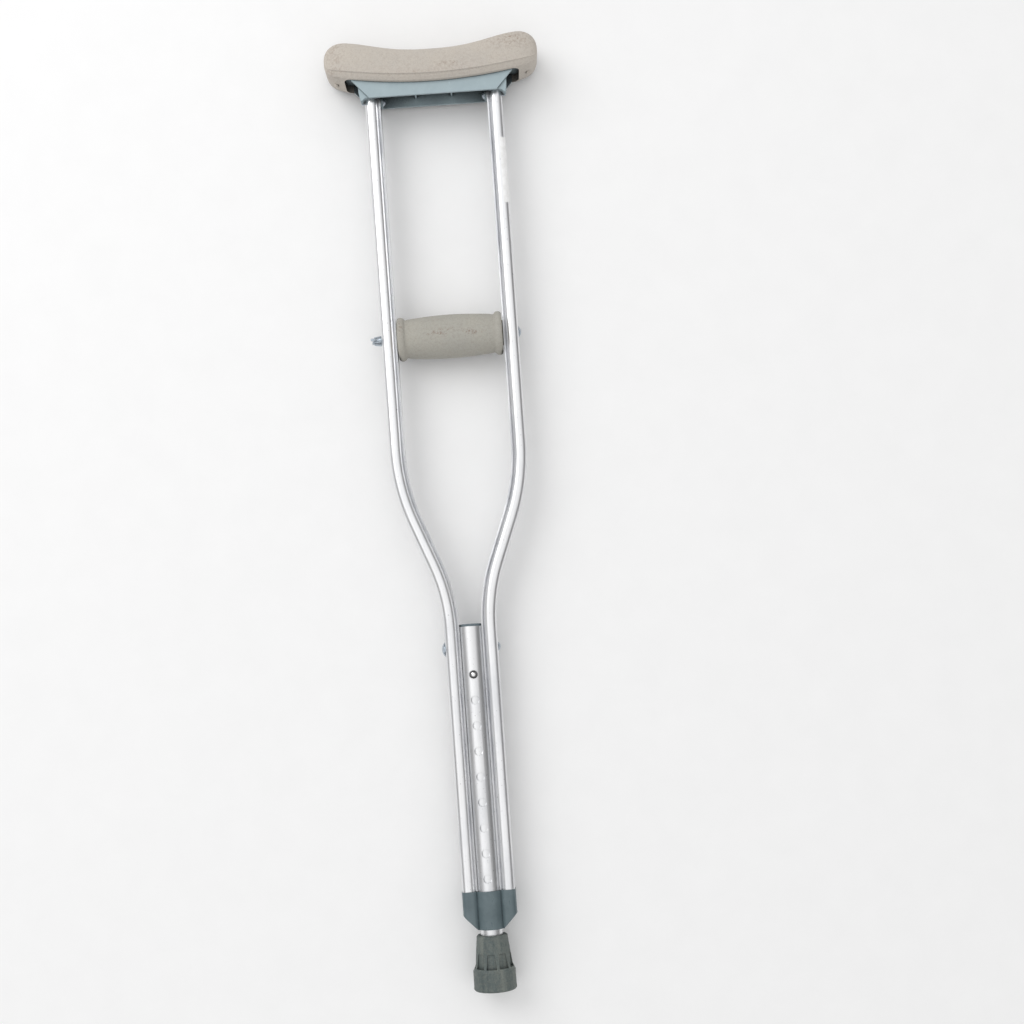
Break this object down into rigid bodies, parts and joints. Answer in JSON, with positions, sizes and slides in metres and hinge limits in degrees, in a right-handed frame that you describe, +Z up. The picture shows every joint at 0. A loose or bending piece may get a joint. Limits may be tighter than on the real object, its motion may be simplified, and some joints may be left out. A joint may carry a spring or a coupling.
{
  "type": "underarm crutch",
  "caption": "Adjustable underarm crutch: two bowed aluminium uprights, telescoping leg with snap button, cross hand grip, padded top bracket and rubber tip.",
  "frame": {"origin": "centre of the rubber tip's ground face, with the leg at its shortest setting", "axes": "+Z up along the leg; X across the crutch from the wing nut (-X) to the bolt head (+X); the adjusting holes and the snap button face -Y"},
  "size_m": [0.2122, 0.05, 0.9494],
  "materials": {
    "anodised_tube": "satin anodised, bright",
    "rubber_grey": "dusty dark grey-green, matt",
    "collar_plastic": "slate blue-grey, satin",
    "bracket_plastic": "light blue-grey, satin",
    "cap_plastic": "dark blue-grey, satin",
    "bush_plastic": "natural white, matt",
    "zinc_steel": "bright zinc plate",
    "button_steel": "polished",
    "spring_steel": "blued, dull",
    "pad_foam": "moulded foam rubber, warm grey-beige, worn",
    "grip_foam": "moulded foam rubber, grey-beige, worn",
    "core_plastic": "hard grip core, matt",
    "label_paper": "white label film, blank"
  },
  "bodies": {
    "upper_frame": {"left_upright": "anodised_tube", "right_upright": "anodised_tube", "outer_leg_tube": "anodised_tube", "outer_tube_cap": "cap_plastic", "leg_collar": "collar_plastic", "leg_bushing": "bush_plastic", "cross_bolt": "zinc_steel", "cross_bolt_nut": "zinc_steel", "cross_bolt_washer": "zinc_steel", "underarm_bracket": "bracket_plastic", "bracket_screws": "zinc_steel", "underarm_pad": "pad_foam", "upright_label": "label_paper"},
    "leg_extension": {"extension_tube": "anodised_tube", "extension_guide_bush": "bush_plastic", "snap_spring": "spring_steel", "rubber_tip": "rubber_grey", "tip_washer": "zinc_steel"},
    "button": {"snap_button": "button_steel"},
    "hand_grip": {"handgrip_foam": "grip_foam", "handgrip_core": "core_plastic", "grip_saddles": "core_plastic", "handgrip_bolt": "zinc_steel", "handgrip_washers": "zinc_steel"},
    "wing_nut": {"handgrip_wing_nut": "zinc_steel"}
  },
  "joints": [
    {"name": "leg_length", "type": "slide", "parent": "upper_frame", "child": "leg_extension", "axis": [0, 0, -1], "range_m": [0, 0.2032], "deforming": ["snap_button", "snap_spring"]},
    {"name": "button_press", "type": "slide", "parent": "leg_extension", "child": "button", "axis": [0, 1, 0], "range_m": [0, 0.004], "stiffness_N_per_m": 1200},
    {"name": "grip_height", "type": "slide", "parent": "upper_frame", "child": "hand_grip", "axis": [0, 0, 1], "range_m": [-0.0762, 0.0762]},
    {"name": "wing_nut_turn", "type": "hinge", "parent": "hand_grip", "child": "wing_nut", "pos_m": [-0.0735, 0, 0.6527], "axis": [1, 0, 0], "continuous": true}
  ]
}
